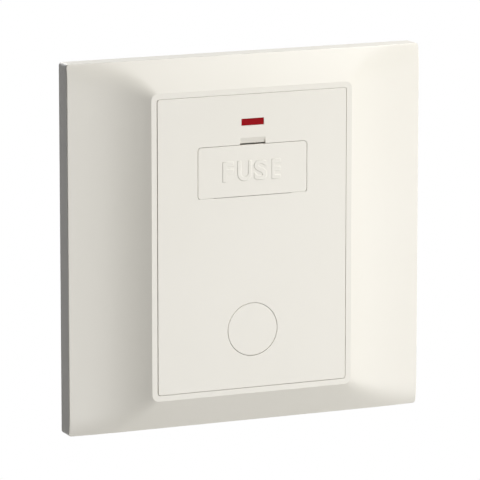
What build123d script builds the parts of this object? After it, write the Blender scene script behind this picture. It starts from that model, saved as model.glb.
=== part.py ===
from build123d import *
import os
from math import cos, hypot, radians, sin

# Fused spur unit for a single wall box. Millimetres, +X right, +Z up, +Y into the wall.
# The wall surface is Y = 0 and the front of the unit faces -Y.

# Driving sizes: change these to make another unit of the same kind.
PLATE_WIDTH = 90.0
PLATE_HEIGHT = 88.0
RIM_DEPTH = 5.0
FACE_DEPTH = 9.0
PANEL_WIDTH = 48.2
PANEL_HEIGHT = 70.2
CARRIER_HEIGHT = 12.25
FUSE_LENGTH = 25.4
OUTLET_R = 6.41
FIXING_CENTRES = 60.3
WALL = 2.0

# Clearances.
PLATE_SIDE_GAP = 0.13
PLATE_END_GAP = 0.08
CARRIER_GAP = 0.1
RUNNING_GAP = 0.05
POCKET_GAP = 0.2
PASSING_GAP = 0.3

# Levels along Y, from the front to the back.
FACE_Y = -FACE_DEPTH
BEZEL_DROP = 0.06
BEZEL_Y = FACE_Y + BEZEL_DROP
PANEL_BACK_Y = FACE_Y + WALL
FRAME_THICKNESS = 1.5
FRAME_FRONT_Y = -FRAME_THICKNESS
FRAME_BACK_Y = 0.0
STRIP_BACK_Y = 5.0
WIRE_DEPTH = 3.6
WIRE_Y = STRIP_BACK_Y + WIRE_DEPTH
TERMINAL_BEHIND_WIRE = 4.9
TERMINAL_BACK_Y = WIRE_Y + TERMINAL_BEHIND_WIRE
HOUSING_WALL = 1.5
HOUSING_BACK_Y = TERMINAL_BACK_Y + HOUSING_WALL

# Heights on the front, measured from the upper and lower edges of the panel.
LENS_INSET = 6.58
LENS_Z = PANEL_HEIGHT / 2 - LENS_INSET
CARRIER_INSET = 12.0
CARRIER_TOP = PANEL_HEIGHT / 2 - CARRIER_INSET
CARRIER_BOTTOM = CARRIER_TOP - CARRIER_HEIGHT
OUTLET_RISE = 14.0
OUTLET_Z = OUTLET_RISE - PANEL_HEIGHT / 2

# Screws. All have plain slotted heads.
SCREW_SLOT_WIDTH = 0.9
SCREW_SLOT_DEPTH = 1.0
SCREW_HEAD_R = 2.6
SCREW_HEAD_HEIGHT = 2.0
HOUSING_SCREW_R = 1.2
HOUSING_SCREW_HOLE_R = HOUSING_SCREW_R + PASSING_GAP
HOUSING_SCREW_END = 1.0
CLAMP_SCREW_R = 1.45
CLAMP_SCREW_HOLE_R = CLAMP_SCREW_R + POCKET_GAP
FIXING_THREAD_R = 1.75
FIXING_NECK_R = 1.4
FIXING_HEAD_R = 3.0
FIXING_HEAD_HEIGHT = 2.2
FIXING_TIP_Y = 26.0

# Cover plate. Its flare is straight up and down, and steepens across the width from the rim to the bezel.
BEZEL_STRIP = 1.35
BEZEL_WIDTH = PANEL_WIDTH + 2 * (PLATE_SIDE_GAP + BEZEL_STRIP)
BEZEL_HEIGHT = PANEL_HEIGHT + 2 * (PLATE_END_GAP + BEZEL_STRIP)
BEZEL_CORNER = 2.0
PLATE_CORNER = 0.8
RIM_ROUND = 0.25
FLARE_EDGE_SLOPE = 0.55
FLARE_OVERRUN = 0.5
FLARE_STEPS = 12
HIP_SPREAD = 0.55
COLLAR_BACK_Y = FRAME_FRONT_Y - FIXING_HEAD_HEIGHT - PASSING_GAP
FINGER_Z = 24.0
FINGER_THICKNESS = 1.6
FINGER_WIDTH = 5.0
RIB_Z = 12.0
RIB_THICKNESS = 1.2
RIB_BACK_GAP = 1.0

# Support frame.
FRAME_MARGIN = 7.85
FRAME_WIDTH = FIXING_CENTRES + 2 * FRAME_MARGIN
FRAME_HEIGHT = PANEL_HEIGHT + 2 * (PASSING_GAP + FRAME_THICKNESS)
FRAME_CORNER = 5.0
FRAME_LIP = 2.0
SLOT_LENGTH = 8.0
SLOT_HEIGHT = 4.0
FINGER_INSET = 7.0
FINGER_X = FRAME_WIDTH / 2 - FINGER_INSET

# Fuse carrier and its hinge. Its lower front edge is trimmed to the circle that it swings in.
HINGE_BEHIND_FACE = 0.75
HINGE_ABOVE_EDGE = 1.1
HINGE_EDGE_GAP = 0.15
HINGE_Y = FACE_Y + HINGE_BEHIND_FACE
HINGE_Z = CARRIER_BOTTOM + HINGE_ABOVE_EDGE
SWING_R = HINGE_ABOVE_EDGE + HINGE_EDGE_GAP - RUNNING_GAP
SWING_LIP = 0.2
HINGE_PIN_R = 0.5
HINGE_PIN_LENGTH = 1.8
HINGE_PIN_ROOT = 1.0
FUSE_END_PLAY = 0.15
STOP_THICKNESS = 0.8
STOP_SETBACK = 0.25
STOP_HALF_HEIGHT = 3.2
CARRIER_SIDE = FUSE_LENGTH / 2 + FUSE_END_PLAY + STOP_THICKNESS + STOP_SETBACK
CARRIER_CORNER = 0.8
KNUCKLE_LENGTH = 3.9
KNUCKLE_X = CARRIER_SIDE - KNUCKLE_LENGTH
EDGE_RELIEF = 0.12
TOP_DRAFT = 0.1
EDGE_ROUND = 0.1

# Cartridge fuse, lying across the carrier.
FUSE_BEHIND_HINGE = 4.85
FUSE_ABOVE_HINGE = 5.55
FUSE_Y = HINGE_Y + FUSE_BEHIND_HINGE
FUSE_Z = HINGE_Z + FUSE_ABOVE_HINGE
CAP_R = 3.175
CAP_LENGTH = 5.6
CAP_WALL = 0.25
CAP_END = 0.35
TUBE_SEAT = 0.025
TUBE_R = CAP_R - CAP_WALL - TUBE_SEAT
TUBE_BORE_R = 1.6
ELEMENT_R = 0.2
GRIP_TO_CAP = 0.6
GRIP_THICKNESS = 2.5
GRIP_X1 = FUSE_LENGTH / 2 - CAP_LENGTH - GRIP_TO_CAP
GRIP_X0 = GRIP_X1 - GRIP_THICKNESS
GRIP_ROOT = 0.2
GRIP_REACH = 1.7
GRIP_WALL_ABOVE = 0.5
GRIP_WALL_BELOW = 1.2
GRIP_SNAP = 0.3

# Front panel.
PANEL_CORNER = 0.6
SKIRT = 1.6
LENS_WIDTH = 5.75
LENS_HEIGHT = 1.66
NOTCH_WIDTH = 6.5
NOTCH_HEIGHT = 1.35
NOTCH_DEPTH = 0.4
LEVER_GAP = 0.25
APERTURE_SIDE = CARRIER_SIDE + CARRIER_GAP
APERTURE_BOTTOM = CARRIER_BOTTOM - HINGE_EDGE_GAP
APERTURE_TOP = CARRIER_TOP + CARRIER_GAP
BAY_WALL = 1.5
BAY_WALL_OVERRUN = 1.0
SCREW_INSET = 4.2
SCREW_X = PANEL_WIDTH / 2 - SCREW_INSET
SCREW_Z = PANEL_HEIGHT / 2 - SCREW_INSET
SCREW_BOSS_R = 2.8
PILOT_END = 0.6

# Flex outlet: the hole in the face, its blank, the collar behind the panel and the tube behind the frame.
PLUG_R = OUTLET_R - CARRIER_GAP
PLUG_DEPTH = 5.0
PLUG_FACE = 1.6
PLUG_SKIRT = 1.2
OUTLET_COLLAR_R = PLUG_R + RUNNING_GAP
OUTLET_COLLAR_WALL = 1.75
OUTLET_TUBE_STEP = 0.25
OUTLET_TUBE_BORE_R = OUTLET_COLLAR_R + OUTLET_TUBE_STEP
OUTLET_TUBE_WALL = 1.7

# Red lens and the neon lamp behind it.
LENS_GAP = 0.05
LENS_SETBACK = 0.05
LENS_LEDGE = 0.7
LENS_FLANGE_WIDTH = LENS_WIDTH + 2 * LENS_LEDGE
LENS_FLANGE_HEIGHT = LENS_HEIGHT + 2 * LENS_LEDGE
LENS_FLANGE_DEPTH = 1.2
LAMP_R = 2.0
LAMP_Y = PANEL_BACK_Y + LENS_FLANGE_DEPTH + RUNNING_GAP + LAMP_R
LAMP_TIP_X = -4.0
LAMP_RIB_THICKNESS = 1.0
LAMP_RIB_X = LENS_FLANGE_WIDTH / 2 + PASSING_GAP + LAMP_RIB_THICKNESS / 2
LAMP_RIB_WALL = 0.6
LAMP_RIB_PAST = 0.5

# Openings of the support frame.
WINDOW_SIDE_GAP = 1.4
WINDOW_WIDTH = 2 * (APERTURE_SIDE + BAY_WALL + WINDOW_SIDE_GAP)
WINDOW_TOP = LENS_Z + LAMP_R + POCKET_GAP
WINDOW_BOTTOM = OUTLET_Z - OUTLET_COLLAR_R - OUTLET_COLLAR_WALL - PASSING_GAP
WINDOW_CORNER = 2.0

# Terminals, three rows on each side. The live row is level with the fuse.
LIVE_Z = FUSE_Z
EARTH_RISE = 13.6
EARTH_Z = OUTLET_Z + EARTH_RISE
NEUTRAL_Z = (LIVE_Z + EARTH_Z) / 2
TERMINAL_X = 17.0
TERMINAL_WIDTH = 7.6
TERMINAL_HEIGHT = 6.8
WIRE_R = 2.1
TERMINAL_SCREW_R = 1.7
TERMINAL_SCREW_TIP_Y = WIRE_Y + WIRE_R + RUNNING_GAP
TERMINAL_SCREW_HEAD_R = 2.8
TERMINAL_SCREW_LIFT = 1.3
TERMINAL_SCREW_HEAD_Y = TERMINAL_BACK_Y + TERMINAL_SCREW_LIFT
LINK_THICKNESS = 1.0
LINK_HEIGHT = 5.0
LINK_OVERRUN = 3.0
LINK_END_X = TERMINAL_X + LINK_OVERRUN
EARTH_LEG_STEP = 0.8
EARTH_LEG_X = -LINK_END_X - EARTH_LEG_STEP
EARTH_LEG_HEIGHT = 4.0

# Spring contacts of the fuse, curved about the hinge line.
CLIP_GAP = 0.1
CLIP_THICKNESS = 0.6
CLIP_WIDTH = 4.8
CLIP_SETBACK = 0.5
CLIP_X1 = FUSE_LENGTH / 2 - CLIP_SETBACK
CLIP_X0 = CLIP_X1 - CLIP_WIDTH
FUSE_ORBIT_R = hypot(FUSE_BEHIND_HINGE, FUSE_ABOVE_HINGE)
CLIP_OUTER_R = FUSE_ORBIT_R + CAP_R + CLIP_GAP
CLIP_INNER_R = FUSE_ORBIT_R - CAP_R - CLIP_GAP
CLIP_BASE_ANGLE = 22.0
CLIP_TIP_ANGLE = 60.0
CLIP_TAIL_R = CLIP_OUTER_R + CLIP_THICKNESS
CLIP_TAIL_Y = HINGE_Y + CLIP_TAIL_R * cos(radians(CLIP_BASE_ANGLE))
CLIP_TAIL_Z = HINGE_Z + CLIP_TAIL_R * sin(radians(CLIP_BASE_ANGLE))
FOOT_DROP = 0.15
FOOT_BOTTOM = CLIP_TAIL_Z - CLIP_THICKNESS - FOOT_DROP

# Leads of the neon lamp. They run back past the spring contact, then down to the strips.
LEAD_R = 0.4
LEAD_OFFSET = 0.8
LEAD_BEND = 0.6
LEAD_STANDOFF = 1.8
LEAD_RUN_Y = STRIP_BACK_Y - LEAD_STANDOFF
LEAD_JOINT_Y = STRIP_BACK_Y - LEAD_R - RUNNING_GAP
LEAD_JOINT_RUN = 1.6
LEAD_SLOPE_RUN = 1.6
LIVE_LEAD_INSET = 1.0
LIVE_LEAD_X = CLIP_X0 + LIVE_LEAD_INSET
NEUTRAL_LEAD_GAP = 0.8
NEUTRAL_LEAD_X = CLIP_X0 - LEAD_R - NEUTRAL_LEAD_GAP
LAMP_LEAD_RUN = 1.2
LAMP_BASE_X = NEUTRAL_LEAD_X - LAMP_LEAD_RUN
RESISTOR_R = 0.9
RESISTOR_LENGTH = 3.2
RESISTOR_TAIL = 1.6
RESISTOR_BACK_Y = LEAD_RUN_Y - RESISTOR_TAIL
RESISTOR_FRONT_Y = RESISTOR_BACK_Y - RESISTOR_LENGTH

# Rear housing.
POCKET_HALF_WIDTH = TERMINAL_WIDTH / 2 + POCKET_GAP
POCKET_HALF_HEIGHT = TERMINAL_HEIGHT / 2 + POCKET_GAP
HOUSING_WIDTH = 2 * (TERMINAL_X + POCKET_HALF_WIDTH + HOUSING_WALL)
HOUSING_ABOVE_LIVE = 6.5
HOUSING_TOP = LIVE_Z + HOUSING_ABOVE_LIVE
HOUSING_BELOW_EARTH = 7.5
HOUSING_BOTTOM = EARTH_Z - HOUSING_BELOW_EARTH
HOUSING_CORNER = 2.0
FLANGE_THICKNESS = 2.4
FLANGE_INSET = 0.6
BAY_FLOOR = 1.1
BAY_BACK_Y = STRIP_BACK_Y - BAY_FLOOR
DEEP_BAY_SIDE = TERMINAL_X - POCKET_HALF_WIDTH - HOUSING_WALL
DEEP_BAY_DROP = 2.0
DEEP_BAY_BOTTOM = NEUTRAL_Z - DEEP_BAY_DROP
DEEP_BAY_FLOOR = 3.5
DEEP_BAY_BACK_Y = HOUSING_BACK_Y - DEEP_BAY_FLOOR
LAMP_BAY_ROOM = 1.0
LAMP_BAY_BACK_Y = LEAD_RUN_Y + LEAD_R + LAMP_BAY_ROOM
LAMP_COVER_WALL = 1.0
LAMP_COVER_SIDE = LIVE_LEAD_X + RESISTOR_R + LAMP_BAY_ROOM + LAMP_COVER_WALL
LAMP_COVER_TOP = LENS_Z + LAMP_R + LAMP_BAY_ROOM + LAMP_COVER_WALL
LAMP_COVER_FLOOR = 1.6
LAMP_COVER_BACK_Y = LAMP_BAY_BACK_Y + LAMP_COVER_FLOOR
LAMP_COVER_LAP = 2.0
LAMP_COVER_CORNER = 1.0
WIRE_MOUTH_GAP = 0.5

# Cord clamp behind the housing.
CLAMP_RISE = 12.1
CLAMP_Z = OUTLET_Z + CLAMP_RISE
CLAMP_HEIGHT = 6.0
CLAMP_CORNER = 1.5
CLAMP_PILLAR_HEIGHT = 4.5
CLAMP_FRONT_Y = HOUSING_BACK_Y + CLAMP_PILLAR_HEIGHT
CLAMP_THICKNESS = 2.5
CLAMP_BACK_Y = CLAMP_FRONT_Y + CLAMP_THICKNESS
CLAMP_SCREW_X = 9.5
CLAMP_END = 3.5
CLAMP_LENGTH = 2 * (CLAMP_SCREW_X + CLAMP_END)
CLAMP_SCREW_BITE = 4.5
CLAMP_SCREW_TIP_Y = HOUSING_BACK_Y - CLAMP_SCREW_BITE
CLAMP_PILLAR_R = 3.0
CLAMP_HOLLOW = 0.8
CORD_GROOVE_R = 4.2
CORD_GROOVE_DEPTH = 3.2
CORD_GROOVE_RUN = 11.0
CORD_GROOVE_TOP = CLAMP_Z + CORD_GROOVE_RUN


def slab(sketch, front_y, back_y):
    """A sketch drawn as seen from the front, given thickness between two Y levels."""
    plane = Plane((0, back_y, 0), x_dir=(1, 0, 0), z_dir=(0, -1, 0))
    return extrude(plane * sketch, amount=back_y - front_y)


def bar(sketch, x0, x1):
    """A sketch drawn in Y and Z, given length between two X positions."""
    low, high = min(x0, x1), max(x0, x1)
    plane = Plane((low, 0, 0), x_dir=(0, 1, 0), z_dir=(1, 0, 0))
    return extrude(plane * sketch, amount=high - low)


def block(x0, x1, y0, y1, z0, z1):
    """A plain box between its limits."""
    centre = Pos((x0 + x1) / 2, (y0 + y1) / 2, (z0 + z1) / 2)
    return centre * Box(abs(x1 - x0), abs(y1 - y0), abs(z1 - z0))


def rod(x, z, radius, front_y, back_y):
    """A round bar along Y."""
    return slab(Pos(x, z) * Circle(radius), front_y, back_y)


def cross_rod(y, z, radius, x0, x1):
    """A round bar along X."""
    return bar(Pos(y, z) * Circle(radius), x0, x1)


def mirrored(shape):
    """The same shape on the other side of the YZ plane."""
    return mirror(shape, about=Plane.YZ)


def one_solid(shape):
    """The single solid of a result, for a part that must be one piece."""
    solids = shape.solids()
    if len(solids) != 1:
        raise ValueError(f"expected one solid, got {len(solids)}")
    return solids[0]


def slotted_screw(x, z, head_r, head_y0, head_y1, shank_r, tip_y):
    """A screw along Y with a slotted head at its head_y1 end."""
    toward = 1 if head_y1 > head_y0 else -1
    head = rod(x, z, head_r, min(head_y0, head_y1), max(head_y0, head_y1))
    shank = rod(x, z, shank_r, min(tip_y, head_y0), max(tip_y, head_y0))
    slot = block(
        x - head_r,
        x + head_r,
        head_y1 - toward * SCREW_SLOT_DEPTH,
        head_y1,
        z - SCREW_SLOT_WIDTH / 2,
        z + SCREW_SLOT_WIDTH / 2,
    )
    return head + shank - slot


def soft_rectangle(width, height, level_reach, upright_reach):
    """A rectangle whose corners bend gradually, over the given reach along its level and upright sides."""
    bends = []
    for x_side, z_side in ((1, 1), (-1, 1), (-1, -1), (1, -1)):
        x = x_side * width / 2
        z = z_side * height / 2
        upright = [(x, z - z_side * upright_reach * share) for share in (1, 2 / 3, 1 / 3)]
        level = [(x - x_side * level_reach * share, z) for share in (1 / 3, 2 / 3, 1)]
        points = upright + level
        if x_side != z_side:
            points.reverse()
        bends.append(Bezier(*points))
    edges = []
    for bend, following in zip(bends, bends[1:] + bends[:1]):
        edges += [bend, Line(bend @ 1, following @ 0)]
    return make_face(edges)


def flare(inset, drop):
    """The body under the flared front, run on past the rim, inset on its sides and dropped to the wall."""
    rise = FACE_DEPTH - BEZEL_DROP - RIM_DEPTH
    sections = []
    for step in range(FLARE_STEPS + 1):
        inward = -FLARE_OVERRUN + (1 + FLARE_OVERRUN) * step / FLARE_STEPS
        lift = FLARE_EDGE_SLOPE * inward + (1 - FLARE_EDGE_SLOPE) * inward**3
        width = PLATE_WIDTH + (BEZEL_WIDTH - PLATE_WIDTH) * inward
        height = PLATE_HEIGHT + (BEZEL_HEIGHT - PLATE_HEIGHT) * lift
        # The hips fan out from the corners of the bezel.
        level_reach = BEZEL_CORNER + HIP_SPREAD * (width - BEZEL_WIDTH) / 2
        upright_reach = BEZEL_CORNER + HIP_SPREAD * (height - BEZEL_HEIGHT) / 2
        outline = soft_rectangle(width - 2 * inset, height - 2 * inset, level_reach, upright_reach)
        level = Plane((0, drop - RIM_DEPTH - rise * lift, 0), x_dir=(1, 0, 0), z_dir=(0, -1, 0))
        sections.append(level * outline)
    foot = sections[0]
    return loft(sections) + extrude(foot, amount=foot.center().Y - FRAME_BACK_Y)


def cover_plate():
    """Moulded shell with a flared front, a collar round its window and four fingers for the frame."""
    rim_outline = RectangleRounded(PLATE_WIDTH, PLATE_HEIGHT, PLATE_CORNER)
    inner_outline = RectangleRounded(PLATE_WIDTH - 2 * WALL, PLATE_HEIGHT - 2 * WALL, PLATE_CORNER)
    bezel_outline = soft_rectangle(BEZEL_WIDTH, BEZEL_HEIGHT, BEZEL_CORNER, BEZEL_CORNER)
    window = RectangleRounded(
        PANEL_WIDTH + 2 * PLATE_SIDE_GAP, PANEL_HEIGHT + 2 * PLATE_END_GAP, PANEL_CORNER + PLATE_END_GAP
    )
    outer = flare(0, 0) & slab(rim_outline, FACE_Y, FRAME_BACK_Y)
    front_edges = outer.edges().filter_by_position(Axis.Y, BEZEL_Y, -RIM_DEPTH / 2, inclusive=(False, True))
    rim_edges = [edge for edge in front_edges if edge.bounding_box().min.Y > -RIM_DEPTH - RIM_ROUND]
    outer = fillet(rim_edges, RIM_ROUND)
    hollow = flare(WALL, WALL) & slab(inner_outline, FACE_Y, FRAME_BACK_Y)
    collar = slab(bezel_outline, BEZEL_Y, COLLAR_BACK_Y)
    shell = outer - (hollow - collar) - slab(window, FACE_Y, FRAME_BACK_Y)
    for side in (-1, 1):
        for end in (-1, 1):
            finger = block(
                side * FINGER_X - FINGER_THICKNESS / 2,
                side * FINGER_X + FINGER_THICKNESS / 2,
                FACE_Y,
                FRAME_BACK_Y - PASSING_GAP,
                end * FINGER_Z - FINGER_WIDTH / 2,
                end * FINGER_Z + FINGER_WIDTH / 2,
            )
            rib = block(
                side * BEZEL_WIDTH / 2,
                side * (PLATE_WIDTH / 2 - WALL),
                FACE_Y,
                FRAME_FRONT_Y - RIB_BACK_GAP,
                end * RIB_Z - RIB_THICKNESS / 2,
                end * RIB_Z + RIB_THICKNESS / 2,
            )
            shell += (finger + rib) & outer
    return one_solid(shell)


def support_frame():
    """Pressed steel frame with a window for the mechanism, two fixing slots and four finger slots."""
    window_middle = (WINDOW_TOP + WINDOW_BOTTOM) / 2
    window = RectangleRounded(WINDOW_WIDTH, WINDOW_TOP - WINDOW_BOTTOM, WINDOW_CORNER)
    sketch = RectangleRounded(FRAME_WIDTH, FRAME_HEIGHT, FRAME_CORNER) - Pos(0, window_middle) * window
    finger_slot = Rectangle(FINGER_THICKNESS + 2 * POCKET_GAP, FINGER_WIDTH + 2 * POCKET_GAP)
    for side in (-1, 1):
        sketch -= Pos(side * FIXING_CENTRES / 2, 0) * SlotOverall(SLOT_LENGTH, SLOT_HEIGHT)
        for end in (-1, 1):
            sketch -= Pos(side * SCREW_X, end * SCREW_Z) * Circle(HOUSING_SCREW_HOLE_R)
            sketch -= Pos(side * FINGER_X, end * FINGER_Z) * finger_slot
    frame = slab(sketch, FRAME_FRONT_Y, FRAME_BACK_Y)
    lip_half = FRAME_WIDTH / 2 - FRAME_CORNER
    for end in (-1, 1):
        edge_z = end * FRAME_HEIGHT / 2
        frame += block(
            -lip_half,
            lip_half,
            FRAME_FRONT_Y - FRAME_LIP,
            FRAME_FRONT_Y,
            edge_z - end * FRAME_THICKNESS,
            edge_z,
        )
    return one_solid(frame)


def front_panel():
    """Moulded insert: face, skirt, carrier opening, lever notch, outlet collar and screw bosses."""
    outline = RectangleRounded(PANEL_WIDTH, PANEL_HEIGHT, PANEL_CORNER)
    inner = RectangleRounded(PANEL_WIDTH - 2 * SKIRT, PANEL_HEIGHT - 2 * SKIRT, PANEL_CORNER)
    panel = slab(outline, FACE_Y, FRAME_FRONT_Y)
    panel = fillet(panel.faces().sort_by(Axis.Y)[0].edges(), EDGE_ROUND)
    panel -= slab(inner, PANEL_BACK_Y, FRAME_FRONT_Y)
    panel += rod(0, OUTLET_Z, OUTLET_COLLAR_R + OUTLET_COLLAR_WALL, PANEL_BACK_Y, FRAME_FRONT_Y)
    pilot_r = HOUSING_SCREW_R + RUNNING_GAP
    for side in (-1, 1):
        for end in (-1, 1):
            boss = rod(side * SCREW_X, end * SCREW_Z, SCREW_BOSS_R, PANEL_BACK_Y, FRAME_FRONT_Y)
            pilot = rod(side * SCREW_X, end * SCREW_Z, pilot_r, PANEL_BACK_Y + PILOT_END, FRAME_FRONT_Y)
            panel = panel + boss - pilot
        panel += block(
            side * APERTURE_SIDE,
            side * (APERTURE_SIDE + BAY_WALL),
            PANEL_BACK_Y,
            FRAME_FRONT_Y,
            APERTURE_BOTTOM - BAY_WALL_OVERRUN,
            APERTURE_TOP + BAY_WALL_OVERRUN,
        )
        panel += lamp_rib(side * LAMP_RIB_X)
    aperture_middle = (APERTURE_TOP + APERTURE_BOTTOM) / 2
    aperture = Pos(0, aperture_middle) * RectangleRounded(
        2 * APERTURE_SIDE, APERTURE_TOP - APERTURE_BOTTOM, CARRIER_CORNER + CARRIER_GAP
    )
    panel -= slab(aperture, FACE_Y, PANEL_BACK_Y)
    # Behind a thin lip the lower corners of the opening give way to the swinging edge of the door.
    swing_side = CARRIER_SIDE + RUNNING_GAP
    swing = cross_rod(HINGE_Y, HINGE_Z, SWING_R + RUNNING_GAP, -swing_side, swing_side)
    below = block(-swing_side, swing_side, FACE_Y + SWING_LIP, PANEL_BACK_Y, APERTURE_BOTTOM, HINGE_Z)
    panel -= swing & below
    panel += hinge_lip(-KNUCKLE_X, KNUCKLE_X, CARRIER_GAP)
    panel += hinge_lip(KNUCKLE_X, APERTURE_SIDE, RUNNING_GAP)
    panel += hinge_lip(-APERTURE_SIDE, -KNUCKLE_X, RUNNING_GAP)
    panel -= slab(Pos(0, LENS_Z) * Rectangle(LENS_WIDTH, LENS_HEIGHT), FACE_Y, PANEL_BACK_Y)
    panel -= rod(0, OUTLET_Z, OUTLET_R, FACE_Y, PANEL_BACK_Y)
    panel -= rod(0, OUTLET_Z, OUTLET_COLLAR_R, PANEL_BACK_Y, FRAME_FRONT_Y)
    lever_top = APERTURE_TOP + LEVER_GAP
    ramp = Polygon(
        (FACE_Y, lever_top + NOTCH_HEIGHT),
        (FACE_Y, lever_top),
        (FACE_Y + NOTCH_DEPTH, lever_top),
        align=None,
    )
    panel -= bar(ramp, -NOTCH_WIDTH / 2, NOTCH_WIDTH / 2)
    panel -= block(-NOTCH_WIDTH / 2, NOTCH_WIDTH / 2, FACE_Y, PANEL_BACK_Y, APERTURE_TOP, lever_top)
    socket_end = APERTURE_SIDE + HINGE_PIN_LENGTH
    panel -= cross_rod(HINGE_Y, HINGE_Z, HINGE_PIN_R + RUNNING_GAP, -socket_end, socket_end)
    return one_solid(panel)


def hinge_lip(x0, x1, gap):
    """A thin lip on the panel that follows the round lower edge of the door."""
    lip = block(x0, x1, FACE_Y, FACE_Y + SWING_LIP, APERTURE_BOTTOM, HINGE_Z)
    return lip - cross_rod(HINGE_Y, HINGE_Z, SWING_R + gap, x0, x1)


def lamp_rib(middle_x):
    """One of the two ribs behind the panel that the neon lamp lies in."""
    x0 = middle_x - LAMP_RIB_THICKNESS / 2
    x1 = middle_x + LAMP_RIB_THICKNESS / 2
    notch_r = LAMP_R + RUNNING_GAP
    half_height = notch_r + LAMP_RIB_WALL
    back_y = LAMP_Y + LAMP_RIB_PAST
    rib = block(x0, x1, PANEL_BACK_Y, back_y, LENS_Z - half_height, LENS_Z + half_height)
    rib -= cross_rod(LAMP_Y, LENS_Z, notch_r, x0, x1)
    rib -= block(x0, x1, LAMP_Y, back_y, LENS_Z - notch_r, LENS_Z + notch_r)
    return rib


def fuse_carrier():
    """Hinged door with two ribs that grip the fuse, end stops and two hinge pins."""
    outline = RectangleRounded(2 * CARRIER_SIDE, CARRIER_HEIGHT, CARRIER_CORNER)
    face = slab(Pos(0, (CARRIER_TOP + CARRIER_BOTTOM) / 2) * outline, FACE_Y, PANEL_BACK_Y)
    face = fillet(face.faces().sort_by(Axis.Y)[0].edges(), EDGE_ROUND)
    ends = door_profile(CARRIER_BOTTOM)
    middle = door_profile(CARRIER_BOTTOM + EDGE_RELIEF)
    trimmed = bar(middle, -KNUCKLE_X, KNUCKLE_X)
    trimmed += bar(ends, KNUCKLE_X, CARRIER_SIDE)
    trimmed += bar(ends, -CARRIER_SIDE, -KNUCKLE_X)
    carrier = face & trimmed
    stop_x = FUSE_LENGTH / 2 + FUSE_END_PLAY
    for side in (-1, 1):
        carrier += fuse_grip(side)
        carrier += block(
            side * stop_x,
            side * (stop_x + STOP_THICKNESS),
            PANEL_BACK_Y,
            FUSE_Y,
            FUSE_Z - STOP_HALF_HEIGHT,
            FUSE_Z + STOP_HALF_HEIGHT,
        )
        pin_root = side * (CARRIER_SIDE - HINGE_PIN_ROOT)
        pin_end = side * (CARRIER_SIDE + HINGE_PIN_LENGTH)
        carrier += cross_rod(HINGE_Y, HINGE_Z, HINGE_PIN_R, pin_root, pin_end)
    return one_solid(carrier)


def door_profile(bottom):
    """The door seen from its end: a top that leans back and a lower front edge that clears the panel."""
    outline = Polygon(
        (FACE_Y, bottom),
        (PANEL_BACK_Y, bottom),
        (PANEL_BACK_Y, CARRIER_TOP - TOP_DRAFT),
        (FACE_Y, CARRIER_TOP),
        align=None,
    )
    hinge = Pos(HINGE_Y, HINGE_Z)
    below_hinge = Rectangle(HINGE_BEHIND_FACE, HINGE_Z - bottom, align=(Align.MAX, Align.MAX))
    return outline - hinge * (below_hinge - Circle(SWING_R))


def fuse_grip(side):
    """One of the two ribs behind the door, open at the back so that the fuse snaps in."""
    back_y = FUSE_Y + GRIP_REACH
    x0, x1 = sorted((side * GRIP_X0, side * GRIP_X1))
    bottom = FUSE_Z - TUBE_R - GRIP_WALL_BELOW
    top = FUSE_Z + TUBE_R + GRIP_WALL_ABOVE
    mouth = TUBE_R - GRIP_SNAP
    rib = block(x0, x1, PANEL_BACK_Y - GRIP_ROOT, back_y, bottom, top)
    rib -= cross_rod(FUSE_Y, FUSE_Z, TUBE_R + RUNNING_GAP, x0, x1)
    rib -= block(x0, x1, FUSE_Y, back_y, FUSE_Z - mouth, FUSE_Z + mouth)
    return rib


def fuse_tube():
    """Ceramic tube of the cartridge fuse."""
    half = FUSE_LENGTH / 2 - CAP_END - RUNNING_GAP
    tube = cross_rod(FUSE_Y, FUSE_Z, TUBE_R, -half, half)
    tube -= cross_rod(FUSE_Y, FUSE_Z, TUBE_BORE_R, -half, half)
    return one_solid(tube)


def fuse_caps():
    """The two plated end caps of the fuse."""
    end = FUSE_LENGTH / 2
    cup = cross_rod(FUSE_Y, FUSE_Z, CAP_R, end - CAP_LENGTH, end)
    cup -= cross_rod(FUSE_Y, FUSE_Z, CAP_R - CAP_WALL, end - CAP_LENGTH, end - CAP_END)
    return Compound(children=[one_solid(cup), one_solid(mirrored(cup))])


def fuse_element():
    """The thin wire inside the fuse, from cap to cap."""
    half = FUSE_LENGTH / 2 - CAP_END
    return one_solid(cross_rod(FUSE_Y, FUSE_Z, ELEMENT_R, -half, half))


def ray_point(radius, angle):
    """A point in Y and Z at a radius and an angle about the hinge line."""
    return (HINGE_Y + radius * cos(radians(angle)), HINGE_Z + radius * sin(radians(angle)))


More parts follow.
